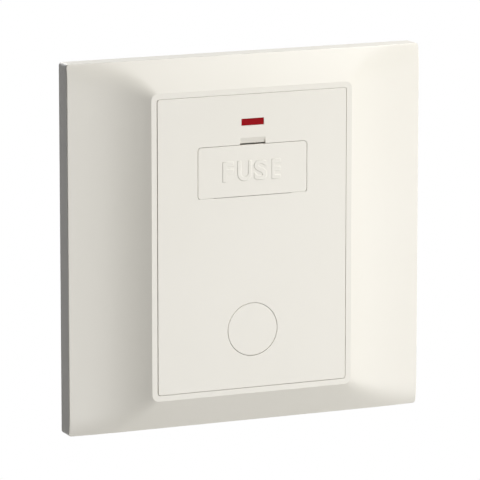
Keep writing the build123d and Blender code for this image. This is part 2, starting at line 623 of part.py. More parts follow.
def fuse_clip():
    """Spring contact on the +X side: two curved arms, a base, and a foot under the live terminal."""
    reach = 2 * CLIP_TAIL_R
    hinge = Pos(HINGE_Y, HINGE_Z)
    wedge = Polygon(
        (HINGE_Y, HINGE_Z),
        ray_point(reach, CLIP_BASE_ANGLE),
        ray_point(reach, CLIP_TIP_ANGLE),
        align=None,
    )
    inner_end = CLIP_INNER_R - CLIP_THICKNESS
    outer_arm = hinge * (Circle(CLIP_TAIL_R) - Circle(CLIP_OUTER_R))
    inner_arm = hinge * (Circle(CLIP_INNER_R) - Circle(inner_end))
    base_strip = Rectangle(CLIP_TAIL_R - inner_end, CLIP_THICKNESS, align=(Align.MIN, Align.MAX))
    base = hinge * Rot(0, 0, CLIP_BASE_ANGLE) * Pos(inner_end, 0) * base_strip
    clip = bar(outer_arm & wedge, CLIP_X0, CLIP_X1)
    clip += bar(inner_arm & wedge, CLIP_X0, CLIP_X1)
    clip += bar(base, CLIP_X0, CLIP_X1)
    clip += block(
        CLIP_X0,
        CLIP_X1,
        CLIP_TAIL_Y - CLIP_THICKNESS,
        STRIP_BACK_Y,
        FOOT_BOTTOM,
        FOOT_BOTTOM + CLIP_THICKNESS,
    )
    clip += block(
        CLIP_X0,
        LINK_END_X,
        STRIP_BACK_Y - CLIP_THICKNESS,
        STRIP_BACK_Y,
        FOOT_BOTTOM,
        LIVE_Z + LINK_HEIGHT / 2,
    )
    return one_solid(clip)


def terminal(z):
    """Brass terminal on the +X side, with a wire hole along X and a screw hole from the back."""
    x0 = TERMINAL_X - TERMINAL_WIDTH / 2
    x1 = TERMINAL_X + TERMINAL_WIDTH / 2
    half_height = TERMINAL_HEIGHT / 2
    shape = block(x0, x1, STRIP_BACK_Y, TERMINAL_BACK_Y, z - half_height, z + half_height)
    shape -= cross_rod(WIRE_Y, z, WIRE_R, x0, x1)
    shape -= rod(TERMINAL_X, z, TERMINAL_SCREW_R + RUNNING_GAP, WIRE_Y, TERMINAL_BACK_Y)
    return one_solid(shape)


def terminal_screws():
    """The six clamping screws, backed out so that the wire holes are open."""
    screws = []
    for side in (-1, 1):
        for z in (LIVE_Z, NEUTRAL_Z, EARTH_Z):
            screw = slotted_screw(
                side * TERMINAL_X,
                z,
                TERMINAL_SCREW_HEAD_R,
                TERMINAL_SCREW_HEAD_Y,
                TERMINAL_SCREW_HEAD_Y + SCREW_HEAD_HEIGHT,
                TERMINAL_SCREW_R,
                TERMINAL_SCREW_TIP_Y,
            )
            screws.append(one_solid(screw))
    return Compound(children=screws)


def brass_strip(x0, x1, z):
    """A flat strip whose back face lies on the terminals of one row."""
    front_y = STRIP_BACK_Y - LINK_THICKNESS
    return block(x0, x1, front_y, STRIP_BACK_Y, z - LINK_HEIGHT / 2, z + LINK_HEIGHT / 2)


def neutral_link():
    """Flat brass strip under both neutral terminals."""
    return one_solid(brass_strip(-LINK_END_X, LINK_END_X, NEUTRAL_Z))


def earth_strap():
    """Flat brass strip under both earth terminals, with a leg that reaches the steel frame."""
    leg = block(
        EARTH_LEG_X,
        EARTH_LEG_X + LINK_THICKNESS,
        FRAME_BACK_Y,
        STRIP_BACK_Y,
        EARTH_Z - EARTH_LEG_HEIGHT / 2,
        EARTH_Z + EARTH_LEG_HEIGHT / 2,
    )
    return one_solid(brass_strip(EARTH_LEG_X, LINK_END_X, EARTH_Z) + leg)


def rear_housing():
    """Moulded body behind the frame, with the terminal pockets, fuse bay, outlet tube and clamp pillars."""
    body = RectangleRounded(HOUSING_WIDTH, HOUSING_TOP - HOUSING_BOTTOM, HOUSING_CORNER)
    flange = RectangleRounded(
        PANEL_WIDTH - 2 * FLANGE_INSET, PANEL_HEIGHT - 2 * FLANGE_INSET, HOUSING_CORNER
    )
    cover_bottom = HOUSING_TOP - LAMP_COVER_LAP
    lamp_cover = RectangleRounded(2 * LAMP_COVER_SIDE, LAMP_COVER_TOP - cover_bottom, LAMP_COVER_CORNER)
    body = Pos(0, (HOUSING_TOP + HOUSING_BOTTOM) / 2) * body
    lamp_cover = Pos(0, (LAMP_COVER_TOP + cover_bottom) / 2) * lamp_cover
    housing = slab(body, FRAME_BACK_Y, HOUSING_BACK_Y)
    housing += slab(flange, FRAME_BACK_Y, FLANGE_THICKNESS)
    housing += slab(lamp_cover, FRAME_BACK_Y, LAMP_COVER_BACK_Y)
    housing += rod(0, OUTLET_Z, OUTLET_TUBE_BORE_R + OUTLET_TUBE_WALL, FRAME_BACK_Y, HOUSING_BACK_Y)
    for side in (-1, 1):
        housing += rod(side * CLAMP_SCREW_X, CLAMP_Z, CLAMP_PILLAR_R, HOUSING_BACK_Y, CLAMP_FRONT_Y)
    housing = housing - housing_front_hollows() - housing_back_hollows()
    return one_solid(housing)


def housing_front_hollows():
    """What is hollowed out of the housing from the frame side: fuse bay, lamp bay and strip pockets."""
    front = FRAME_BACK_Y
    bay_top = HOUSING_TOP - HOUSING_WALL
    lamp_side = LAMP_COVER_SIDE - LAMP_COVER_WALL
    hollow = block(-APERTURE_SIDE, APERTURE_SIDE, front, BAY_BACK_Y, CARRIER_BOTTOM, bay_top)
    hollow += block(-DEEP_BAY_SIDE, DEEP_BAY_SIDE, front, DEEP_BAY_BACK_Y, DEEP_BAY_BOTTOM, bay_top)
    hollow += block(-lamp_side, lamp_side, front, LAMP_BAY_BACK_Y, bay_top, LAMP_COVER_TOP - LAMP_COVER_WALL)
    strip_side = LINK_END_X + POCKET_GAP
    slack = LINK_HEIGHT / 2 + POCKET_GAP
    foot_bottom = min(FOOT_BOTTOM, LIVE_Z - LINK_HEIGHT / 2) - POCKET_GAP
    leg_side = EARTH_LEG_X - POCKET_GAP
    hollow += block(-strip_side, strip_side, front, STRIP_BACK_Y, foot_bottom, LIVE_Z + slack)
    hollow += block(-strip_side, strip_side, front, STRIP_BACK_Y, NEUTRAL_Z - slack, NEUTRAL_Z + slack)
    hollow += block(leg_side, strip_side, front, STRIP_BACK_Y, EARTH_Z - slack, EARTH_Z + slack)
    return hollow


def housing_back_hollows():
    """What is hollowed out of the housing from the back: pockets, cord way and screw holes."""
    hollow = rod(0, OUTLET_Z, OUTLET_TUBE_BORE_R, FRAME_BACK_Y, HOUSING_BACK_Y)
    groove_middle = HOUSING_BACK_Y + CORD_GROOVE_R - CORD_GROOVE_DEPTH
    groove_plane = Plane((0, groove_middle, OUTLET_Z), x_dir=(1, 0, 0), z_dir=(0, 0, 1))
    hollow += extrude(groove_plane * Circle(CORD_GROOVE_R), amount=CORD_GROOVE_TOP - OUTLET_Z)
    mouth_half = WIRE_R + WIRE_MOUTH_GAP
    pilot_end_y = CLAMP_SCREW_TIP_Y - PILOT_END
    for side in (-1, 1):
        for z in (LIVE_Z, NEUTRAL_Z, EARTH_Z):
            middle = side * TERMINAL_X
            hollow += block(
                middle - POCKET_HALF_WIDTH,
                middle + POCKET_HALF_WIDTH,
                STRIP_BACK_Y,
                HOUSING_BACK_Y,
                z - POCKET_HALF_HEIGHT,
                z + POCKET_HALF_HEIGHT,
            )
            hollow += block(
                middle,
                side * HOUSING_WIDTH / 2,
                WIRE_Y - mouth_half,
                HOUSING_BACK_Y,
                z - mouth_half,
                z + mouth_half,
            )
        for end in (-1, 1):
            hollow += rod(
                side * SCREW_X, end * SCREW_Z, HOUSING_SCREW_HOLE_R, FRAME_BACK_Y, FLANGE_THICKNESS
            )
        hollow += rod(side * CLAMP_SCREW_X, CLAMP_Z, CLAMP_SCREW_R + RUNNING_GAP, pilot_end_y, CLAMP_FRONT_Y)
    return hollow


def neon_lens():
    """Red lens: a window that fills the slot in the panel and a flange behind it."""
    pane = Rectangle(LENS_WIDTH - 2 * LENS_GAP, LENS_HEIGHT - 2 * LENS_GAP)
    flange = Rectangle(LENS_FLANGE_WIDTH, LENS_FLANGE_HEIGHT)
    lens = slab(Pos(0, LENS_Z) * pane, FACE_Y + LENS_SETBACK, PANEL_BACK_Y)
    lens += slab(Pos(0, LENS_Z) * flange, PANEL_BACK_Y, PANEL_BACK_Y + LENS_FLANGE_DEPTH)
    return one_solid(lens)


def neon_lamp():
    """Glass neon lamp lying behind the lens."""
    body = cross_rod(LAMP_Y, LENS_Z, LAMP_R, LAMP_TIP_X, LAMP_BASE_X)
    tip = Pos(LAMP_TIP_X, LAMP_Y, LENS_Z) * Sphere(LAMP_R)
    return one_solid(body + tip)


def neon_resistor():
    """Series resistor in the live lead of the lamp."""
    live_z = LENS_Z + LEAD_OFFSET
    return one_solid(rod(LIVE_LEAD_X, live_z, RESISTOR_R, RESISTOR_FRONT_Y, RESISTOR_BACK_Y))


def lead(points):
    """A round lead along straight runs with rounded bends."""
    path = FilletPolyline(*points, radius=LEAD_BEND)
    return one_solid(sweep(Plane(path @ 0, z_dir=path % 0) * Circle(LEAD_R), path))


def lead_end(x, from_y, from_z, strip_top):
    """The points of a lead from a start behind the lamp to the upper edge of a strip."""
    slope_bottom = strip_top + LEAD_JOINT_RUN
    return [
        (x, from_y, from_z),
        (x, LEAD_RUN_Y, from_z),
        (x, LEAD_RUN_Y, slope_bottom + LEAD_SLOPE_RUN),
        (x, LEAD_JOINT_Y, slope_bottom),
        (x, LEAD_JOINT_Y, strip_top),
    ]


def neon_leads():
    """The three lengths of lead that join lamp, resistor, load clip and neutral link."""
    live_z = LENS_Z + LEAD_OFFSET
    neutral_z = LENS_Z - LEAD_OFFSET
    lamp_to_resistor = lead(
        [
            (LAMP_BASE_X, LAMP_Y, live_z),
            (LIVE_LEAD_X, LAMP_Y, live_z),
            (LIVE_LEAD_X, RESISTOR_FRONT_Y, live_z),
        ]
    )
    resistor_to_clip = lead(lead_end(LIVE_LEAD_X, RESISTOR_BACK_Y, live_z, LIVE_Z + LINK_HEIGHT / 2))
    lamp_to_link = lead(
        [(LAMP_BASE_X, LAMP_Y, neutral_z)]
        + lead_end(NEUTRAL_LEAD_X, LAMP_Y, neutral_z, NEUTRAL_Z + LINK_HEIGHT / 2)
    )
    return Compound(children=[lamp_to_resistor, resistor_to_clip, lamp_to_link])


def outlet_plug():
    """Round blank that fills the flex outlet: a disc with a skirt that grips the collar."""
    back_y = FACE_Y + PLUG_DEPTH
    plug = rod(0, OUTLET_Z, PLUG_R, FACE_Y, back_y)
    plug = fillet(plug.faces().sort_by(Axis.Y)[0].edges(), EDGE_ROUND)
    plug -= rod(0, OUTLET_Z, PLUG_R - PLUG_SKIRT, FACE_Y + PLUG_FACE, back_y)
    return one_solid(plug)


def cord_clamp():
    """Bar across the cord way, held by two screws."""
    outline = Pos(0, CLAMP_Z) * RectangleRounded(CLAMP_LENGTH, CLAMP_HEIGHT, CLAMP_CORNER)
    for side in (-1, 1):
        outline -= Pos(side * CLAMP_SCREW_X, CLAMP_Z) * Circle(CLAMP_SCREW_HOLE_R)
    clamp = slab(outline, CLAMP_FRONT_Y, CLAMP_BACK_Y)
    hollow_y = CLAMP_FRONT_Y - CORD_GROOVE_R + CLAMP_HOLLOW
    hollow_plane = Plane((0, hollow_y, CLAMP_Z - CLAMP_HEIGHT / 2), x_dir=(1, 0, 0), z_dir=(0, 0, 1))
    clamp -= extrude(hollow_plane * Circle(CORD_GROOVE_R), amount=CLAMP_HEIGHT)
    return one_solid(clamp)


def cord_clamp_screws():
    """The two screws of the cord clamp."""
    screws = []
    for side in (-1, 1):
        screw = slotted_screw(
            side * CLAMP_SCREW_X,
            CLAMP_Z,
            SCREW_HEAD_R,
            CLAMP_BACK_Y,
            CLAMP_BACK_Y + SCREW_HEAD_HEIGHT,
            CLAMP_SCREW_R,
            CLAMP_SCREW_TIP_Y,
        )
        screws.append(one_solid(screw))
    return Compound(children=screws)


def housing_screws():
    """The four screws that hold the housing, the frame and the panel together."""
    screws = []
    for side in (-1, 1):
        for end in (-1, 1):
            screw = slotted_screw(
                side * SCREW_X,
                end * SCREW_Z,
                SCREW_HEAD_R,
                FLANGE_THICKNESS,
                FLANGE_THICKNESS + SCREW_HEAD_HEIGHT,
                HOUSING_SCREW_R,
                PANEL_BACK_Y + HOUSING_SCREW_END,
            )
            screws.append(one_solid(screw))
    return Compound(children=screws)


def fixing_screws():
    """The two screws that hold the frame to a wall box, with a waisted neck where they pass the frame."""
    screws = []
    for side in (-1, 1):
        x = side * FIXING_CENTRES / 2
        screw = slotted_screw(
            x,
            0,
            FIXING_HEAD_R,
            FRAME_FRONT_Y,
            FRAME_FRONT_Y - FIXING_HEAD_HEIGHT,
            FIXING_NECK_R,
            FRAME_BACK_Y,
        )
        screws.append(one_solid(screw + rod(x, 0, FIXING_THREAD_R, FRAME_BACK_Y, FIXING_TIP_Y)))
    return Compound(children=screws)


parts = {
    "cover_plate": cover_plate(),
    "support_frame": support_frame(),
    "front_panel": front_panel(),
    "rear_housing": rear_housing(),
    "fuse_carrier": fuse_carrier(),
    "fuse_tube": fuse_tube(),
    "fuse_caps": fuse_caps(),
    "fuse_element": fuse_element(),
    "load_fuse_clip": fuse_clip(),
    "supply_fuse_clip": mirrored(fuse_clip()),
    "load_live_terminal": terminal(LIVE_Z),
    "load_neutral_terminal": terminal(NEUTRAL_Z),
    "load_earth_terminal": terminal(EARTH_Z),
    "supply_live_terminal": mirrored(terminal(LIVE_Z)),
    "supply_neutral_terminal": mirrored(terminal(NEUTRAL_Z)),
    "supply_earth_terminal": mirrored(terminal(EARTH_Z)),
    "terminal_screws": terminal_screws(),
    "neutral_link": neutral_link(),
    "earth_strap": earth_strap(),
    "neon_lens": neon_lens(),
    "neon_lamp": neon_lamp(),
    "neon_resistor": neon_resistor(),
    "neon_leads": neon_leads(),
    "outlet_plug": outlet_plug(),
    "cord_clamp": cord_clamp(),
    "cord_clamp_screws": cord_clamp_screws(),
    "housing_screws": housing_screws(),
    "fixing_screws": fixing_screws(),
}

os.makedirs("parts", exist_ok=True)
for name, shape in parts.items():
    export_step(shape, f"parts/{name}.step")
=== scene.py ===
import math

import bmesh
import bpy
from mathutils import Matrix, Vector


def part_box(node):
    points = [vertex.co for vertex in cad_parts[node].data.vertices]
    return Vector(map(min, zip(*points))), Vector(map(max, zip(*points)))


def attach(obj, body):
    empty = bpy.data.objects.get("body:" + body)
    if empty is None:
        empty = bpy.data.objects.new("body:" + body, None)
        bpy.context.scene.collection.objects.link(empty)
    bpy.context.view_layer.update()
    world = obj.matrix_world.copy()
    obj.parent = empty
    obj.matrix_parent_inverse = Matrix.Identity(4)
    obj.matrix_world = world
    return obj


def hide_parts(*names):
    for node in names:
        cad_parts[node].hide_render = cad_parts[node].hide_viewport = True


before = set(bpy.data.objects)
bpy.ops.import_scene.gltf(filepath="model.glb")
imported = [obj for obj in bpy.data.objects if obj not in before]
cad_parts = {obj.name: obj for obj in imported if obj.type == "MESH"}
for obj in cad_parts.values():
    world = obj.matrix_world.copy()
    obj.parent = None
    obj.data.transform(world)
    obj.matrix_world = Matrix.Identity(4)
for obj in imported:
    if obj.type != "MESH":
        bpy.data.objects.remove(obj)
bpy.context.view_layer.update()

# Support frame
# A pressed steel plate that carries everything else and is screwed to the wall box.
# Cold-rolled sheet, stamped with its slots and folded lips, then zinc plated and clear passivated.

# Blender works in metres. Sizes of pieces and patterns are written in millimetres.
MM = 0.001


def linear(hex_code):
    """The linear colour of an sRGB hex value."""
    channels = []
    for digit in (0, 2, 4):
        value = int(hex_code[digit : digit + 2], 16) / 255
        channels.append(value / 12.92 if value <= 0.04045 else ((value + 0.055) / 1.055) ** 2.4)
    return (*channels, 1.0)


def per_mm(size):
    """The texture scale that gives features of a size in millimetres."""
    return 1 / (size * MM)


def start_material(name):
    """A node material with nothing in its tree yet."""
    material = bpy.data.materials.new(name)
    material.use_nodes = True
    material.node_tree.nodes.clear()
    return material


def add(owner, kind, inputs, output=None, **settings):
    """Add one node with its settings, values and links, and give its named output, or else its first."""
    tree = owner.node_tree
    made = tree.nodes.new(kind)
    for name, value in settings.items():
        setattr(made, name, value)
    for name, value in inputs.items():
        socket = next(each for each in made.inputs if each.name == name and each.enabled)
        if isinstance(value, bpy.types.NodeSocket):
            tree.links.new(value, socket)
        else:
            socket.default_value = value
    if output:
        return made.outputs[output]
    return next((each for each in made.outputs if each.enabled), None)


def dress(material, *nodes):
    """Give CAD nodes a finished material in place of their plain one."""
    for node in nodes:
        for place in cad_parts[node].material_slots:
            place.material = material


# Zinc plate on rolled steel: blue-grey metal with cloudy passivation and fine lines along the rolling.
zinc_steel = start_material("zinc_plated_steel")
where = add(zinc_steel, "ShaderNodeTexCoord", {}, output="Object")
clouds = add(zinc_steel, "ShaderNodeTexNoise", {"Vector": where, "Scale": per_mm(6.0), "Detail": 4.0})
rolling = add(
    zinc_steel, "ShaderNodeMapping", {"Vector": where, "Scale": (per_mm(9.0), per_mm(0.25), per_mm(0.25))}
)
lines = add(zinc_steel, "ShaderNodeTexNoise", {"Vector": rolling, "Scale": 1.0})
tint = add(
    zinc_steel,
    "ShaderNodeMix",
    {"Factor": clouds, "A": linear("AEB3B7"), "B": linear("C9CCCC")},
    data_type="RGBA",
)
dullness = add(zinc_steel, "ShaderNodeMapRange", {"Value": clouds, "To Min": 0.28, "To Max": 0.46})
relief = add(zinc_steel, "ShaderNodeBump", {"Height": lines, "Strength": 0.15, "Distance": 0.02 * MM})
surface = add(
    zinc_steel,
    "ShaderNodeBsdfPrincipled",
    {"Base Color": tint, "Roughness": dullness, "Normal": relief, "Metallic": 1.0},
)
add(zinc_steel, "ShaderNodeOutputMaterial", {"Surface": surface})
dress(zinc_steel, "support_frame")

# Rear housing
# The moulded body behind the frame, with a pocket for each terminal and a tube for the flex.
# Glass-filled nylon, injection moulded, with the terminal letters raised on its back.

MARK_HEIGHT = 2.0
MARK_RELIEF = 0.2
MARK_ABOVE_WIRE = 5.1
WALL_BEHIND_TERMINAL = 1.5
# In the units of the font, in which a letter is a little less than 1 high.
LETTER_WEIGHT = 0.01
LETTER_FLANK = 0.03
LETTER_FLANK_STEPS = 2

# Glass-filled nylon: off-white, with streaks of fibre along the flow and a dry, slightly rough skin.
# The fibres are 0.01 mm thick, so they are drawn as streaks of 0.3 mm.
nylon = start_material("glass_filled_nylon")
where = add(nylon, "ShaderNodeTexCoord", {}, output="Object")
flow = add(
    nylon, "ShaderNodeMapping", {"Vector": where, "Scale": (per_mm(0.3), per_mm(0.6), per_mm(3.0))}
)
fibres = add(nylon, "ShaderNodeTexNoise", {"Vector": flow, "Scale": 1.0, "Detail": 3.0, "Distortion": 0.6})
skin = add(nylon, "ShaderNodeTexNoise", {"Vector": where, "Scale": per_mm(0.15), "Detail": 2.0})
tint = add(
    nylon,
    "ShaderNodeMix",
    {"Factor": fibres, "A": linear("CFCCC3"), "B": linear("DEDBD3")},
    data_type="RGBA",
)
dullness = add(nylon, "ShaderNodeMapRange", {"Value": fibres, "To Min": 0.48, "To Max": 0.64})
relief = add(nylon, "ShaderNodeBump", {"Height": skin, "Strength": 0.25, "Distance": 0.02 * MM})
surface = add(
    nylon,
    "ShaderNodeBsdfPrincipled",
    {"Base Color": tint, "Roughness": dullness, "Normal": relief, "IOR": 1.53},
)
add(nylon, "ShaderNodeOutputMaterial", {"Surface": surface})
dress(nylon, "rear_housing")


def raised_letter(name, letter, width, height, standing, place, turn):
    """A raised letter with rounded flanks. Half of its thickness is sunk into what carries it."""
    text = bpy.data.curves.new(name, "FONT")
    text.body = letter
    text.offset = LETTER_WEIGHT
    text.bevel_depth = LETTER_FLANK
    text.bevel_resolution = LETTER_FLANK_STEPS
    writer = bpy.data.objects.new(name, text)
    bpy.context.collection.objects.link(writer)
    mesh = bpy.data.meshes.new_from_object(writer.evaluated_get(bpy.context.evaluated_depsgraph_get()))
    bpy.data.objects.remove(writer)
    low = Vector(min(point.co[axis] for point in mesh.vertices) for axis in range(3))
    high = Vector(max(point.co[axis] for point in mesh.vertices) for axis in range(3))
    reach = high - low
    width = width or reach.x * height / reach.y
    grow = Matrix.Diagonal((width / reach.x, height / reach.y, 2 * standing / reach.z, 1.0))
    mesh.transform(Matrix.Translation(place) @ turn @ grow @ Matrix.Translation(-(low + high) / 2))
    mesh.name = name
    made = bpy.data.objects.new(name, mesh)
    bpy.context.collection.objects.link(made)
    return made


FACE_FRONT = Matrix.Rotation(math.radians(90), 4, "X")
FACE_BACK = Matrix.Rotation(math.radians(180), 4, "Z") @ FACE_FRONT

terminal_row = {"L": "live", "N": "neutral", "E": "earth"}
for side in ("supply", "load"):
    for letter, row in terminal_row.items():
        low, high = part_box(f"{side}_{row}_terminal")
        middle = (Vector(low) + Vector(high)) / 2
        back_y = high[1] + WALL_BEHIND_TERMINAL * MM
        mark = raised_letter(
            f"{side}_{row}_mark",
            letter,
            None,
            MARK_HEIGHT * MM,
            MARK_RELIEF * MM,
            Vector((middle.x, back_y, middle.z + MARK_ABOVE_WIRE * MM)),
            FACE_BACK,
        )
        mark.data.materials.append(nylon)
        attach(mark, "spur_body")

# Terminals and link strips
# Brass blocks with a wire hole and a clamping screw, joined in rows by flat strips.
# Sawn from drawn brass bar and drilled; the strips are blanked from half-hard sheet.

# Drawn brass: warm yellow, drawing lines along the bar, and a faint brown bloom from the air.
brass = start_material("drawn_brass")
where = add(brass, "ShaderNodeTexCoord", {}, output="Object")
drawing = add(
    brass, "ShaderNodeMapping", {"Vector": where, "Scale": (per_mm(8.0), per_mm(0.2), per_mm(0.2))}
)
lines = add(brass, "ShaderNodeTexNoise", {"Vector": drawing, "Scale": 1.0, "Detail": 2.0})
bloom = add(brass, "ShaderNodeTexNoise", {"Vector": where, "Scale": per_mm(3.0), "Detail": 5.0})
tint = add(
    brass,
    "ShaderNodeMix",
    {"Factor": bloom, "A": linear("B8924E"), "B": linear("DDBE7C")},
    data_type="RGBA",
)
dullness = add(brass, "ShaderNodeMapRange", {"Value": bloom, "To Min": 0.42, "To Max": 0.24})
relief = add(brass, "ShaderNodeBump", {"Height": lines, "Strength": 0.2, "Distance": 0.015 * MM})
surface = add(
    brass,
    "ShaderNodeBsdfPrincipled",
    {"Base Color": tint, "Roughness": dullness, "Normal": relief, "Metallic": 1.0},
)
add(brass, "ShaderNodeOutputMaterial", {"Surface": surface})
for side in ("supply", "load"):
    for row in terminal_row.values():
        dress(brass, f"{side}_{row}_terminal")
dress(brass, "neutral_link", "earth_strap")

# Small screws
# Slotted cheese-head screws for the terminals, the housing and the cord clamp.
# Cold-headed steel, thread rolled, bright zinc plated in a barrel.

# Barrel zinc: a little darker than the sheet, with the tiny knocks of the tumbling.
screw_steel = start_material("barrel_plated_screw_steel")
where = add(screw_steel, "ShaderNodeTexCoord", {}, output="Object")
knocks = add(screw_steel, "ShaderNodeTexVoronoi", {"Vector": where, "Scale": per_mm(0.5)})
clouds = add(screw_steel, "ShaderNodeTexNoise", {"Vector": where, "Scale": per_mm(1.5), "Detail": 3.0})
tint = add(
    screw_steel,
    "ShaderNodeMix",
    {"Factor": clouds, "A": linear("9FA4A8"), "B": linear("C2C5C6")},
    data_type="RGBA",
)
dullness = add(screw_steel, "ShaderNodeMapRange", {"Value": clouds, "To Min": 0.24, "To Max": 0.42})
relief = add(screw_steel, "ShaderNodeBump", {"Height": knocks, "Strength": 0.15, "Distance": 0.02 * MM})
surface = add(
    screw_steel,
    "ShaderNodeBsdfPrincipled",
    {"Base Color": tint, "Roughness": dullness, "Normal": relief, "Metallic": 1.0},
)
add(screw_steel, "ShaderNodeOutputMaterial", {"Surface": surface})
dress(screw_steel, "terminal_screws", "housing_screws", "cord_clamp_screws")

# Fuse contacts
# Two springs that hold the caps of the fuse, each with a foot under its live terminal.
# Blanked and formed from phosphor bronze strip.

# Phosphor bronze: redder than brass, with fine lines from the rolls and a cloudy heat tint.
bronze = start_material("phosphor_bronze_strip")
where = add(bronze, "ShaderNodeTexCoord", {}, output="Object")
clouds = add(bronze, "ShaderNodeTexNoise", {"Vector": where, "Scale": per_mm(4.0), "Detail": 3.0})
tint = add(
    bronze,
    "ShaderNodeMix",
    {"Factor": clouds, "A": linear("B27A4A"), "B": linear("CB9763")},
    data_type="RGBA",
)
dullness = add(bronze, "ShaderNodeMapRange", {"Value": clouds, "To Min": 0.22, "To Max": 0.36})
rolling = add(
    bronze, "ShaderNodeMapping", {"Vector": where, "Scale": (per_mm(5.0), per_mm(5.0), per_mm(0.2))}
)
lines = add(bronze, "ShaderNodeTexNoise", {"Vector": rolling, "Scale": 1.0})
relief = add(bronze, "ShaderNodeBump", {"Height": lines, "Strength": 0.12, "Distance": 0.01 * MM})
surface = add(
    bronze,
    "ShaderNodeBsdfPrincipled",
    {"Base Color": tint, "Roughness": dullness, "Normal": relief, "Metallic": 1.0},
)
add(bronze, "ShaderNodeOutputMaterial", {"Surface": surface})
dress(bronze, "supply_fuse_clip", "load_fuse_clip")

# Neon lamp, resistor and leads
# A wire-ended glass lamp behind the lens, with its series resistor and two sleeved leads.
# The lamp lies in two ribs of the panel; the leads run back to the load contact and the neutral strip.

# Soda glass with faint cords from drawing, which bend what is seen through it a little.
lamp_glass = start_material("soda_glass")
where = add(lamp_glass, "ShaderNodeTexCoord", {}, output="Object")
cords = add(lamp_glass, "ShaderNodeTexNoise", {"Vector": where, "Scale": per_mm(1.5)})
dullness = add(lamp_glass, "ShaderNodeMapRange", {"Value": cords, "To Min": 0.02, "To Max": 0.08})
relief = add(lamp_glass, "ShaderNodeBump", {"Height": cords, "Strength": 0.1, "Distance": 0.03 * MM})
surface = add(
    lamp_glass,
    "ShaderNodeBsdfPrincipled",
    {
        "Base Color": linear("F4F7F4"),
        "Roughness": dullness,
        "Normal": relief,
        "IOR": 1.51,
        "Transmission Weight": 1.0,
    },
)
add(lamp_glass, "ShaderNodeOutputMaterial", {"Surface": surface})
dress(lamp_glass, "neon_lamp")

# Lacquered resistor: tan body with brown bands across its length, which runs front to back.
# The lacquer is dipped, so its skin is a little uneven.
BAND_PITCH = 0.8
# At a scale of 1, a wave texture repeats after this length.
WAVE_LENGTH = 2 * math.pi / 20
resistor_lacquer = start_material("resistor_lacquer")
where = add(resistor_lacquer, "ShaderNodeTexCoord", {}, output="Object")
bands = add(
    resistor_lacquer,
    "ShaderNodeTexWave",
    {"Vector": where, "Scale": per_mm(BAND_PITCH) * WAVE_LENGTH},
    bands_direction="Y",
)
edge = add(resistor_lacquer, "ShaderNodeMapRange", {"Value": bands, "From Min": 0.7, "From Max": 0.8})
tint = add(
    resistor_lacquer,
    "ShaderNodeMix",
    {"Factor": edge, "A": linear("C9A878"), "B": linear("6B3A1E")},
    data_type="RGBA",
)
dip = add(resistor_lacquer, "ShaderNodeTexNoise", {"Vector": where, "Scale": per_mm(0.7)})
gloss = add(resistor_lacquer, "ShaderNodeMapRange", {"Value": dip, "To Min": 0.24, "To Max": 0.38})
relief = add(resistor_lacquer, "ShaderNodeBump", {"Height": dip, "Strength": 0.2, "Distance": 0.03 * MM})
surface = add(
    resistor_lacquer,
    "ShaderNodeBsdfPrincipled",
    {"Base Color": tint, "Roughness": gloss, "Normal": relief},
)
add(resistor_lacquer, "ShaderNodeOutputMaterial", {"Surface": surface})
dress(resistor_lacquer, "neon_resistor")

# Silicone sleeve on the leads: white, dull, dusty to the touch.
lead_sleeve = start_material("silicone_sleeve")
where = add(lead_sleeve, "ShaderNodeTexCoord", {}, output="Object")
dust = add(lead_sleeve, "ShaderNodeTexNoise", {"Vector": where, "Scale": per_mm(0.8), "Detail": 3.0})
tint = add(
    lead_sleeve,
    "ShaderNodeMix",
    {"Factor": dust, "A": linear("D4D2CB"), "B": linear("E6E4DE")},
    data_type="RGBA",
)
dullness = add(lead_sleeve, "ShaderNodeMapRange", {"Value": dust, "To Min": 0.55, "To Max": 0.7})
relief = add(lead_sleeve, "ShaderNodeBump", {"Height": dust, "Strength": 0.1, "Distance": 0.02 * MM})
surface = add(
    lead_sleeve, "ShaderNodeBsdfPrincipled", {"Base Color": tint, "Roughness": dullness, "Normal": relief}
)
add(lead_sleeve, "ShaderNodeOutputMaterial", {"Surface": surface})
dress(lead_sleeve, "neon_leads")

# Front panel
# The flush insert in the window of the cover plate, with the openings for lens, carrier and plug.
# Ivory polycarbonate, injection moulded, screwed to the frame from behind.

# Ivory polycarbonate from a lightly spark-eroded tool: smooth to the eye, with a satin sheen.
# The erosion grain is 0.03 mm; it is drawn at 0.2 mm so that it shows in a close view.
ivory = start_material("ivory_polycarbonate")
where = add(ivory, "ShaderNodeTexCoord", {}, output="Object")
flow = add(ivory, "ShaderNodeTexNoise", {"Vector": where, "Scale": per_mm(25.0), "Detail": 2.0})
grain = add(ivory, "ShaderNodeTexNoise", {"Vector": where, "Scale": per_mm(0.2), "Detail": 3.0})
tint = add(
    ivory,
    "ShaderNodeMix",
    {"Factor": flow, "A": linear("EDE9DE"), "B": linear("F0ECE2")},
    data_type="RGBA",
)
satin = add(ivory, "ShaderNodeMapRange", {"Value": grain, "To Min": 0.34, "To Max": 0.42})
relief = add(ivory, "ShaderNodeBump", {"Height": grain, "Strength": 0.06, "Distance": 0.01 * MM})
surface = add(
    ivory,
    "ShaderNodeBsdfPrincipled",
    {"Base Color": tint, "Roughness": satin, "Normal": relief, "IOR": 1.55},
)
add(ivory, "ShaderNodeOutputMaterial", {"Surface": surface})
dress(ivory, "front_panel")

# Neon lens
# A small red window in front of the lamp, held in its slot by a flange behind the panel.
# Red polycarbonate, moulded with a matt front so that it does not dazzle.

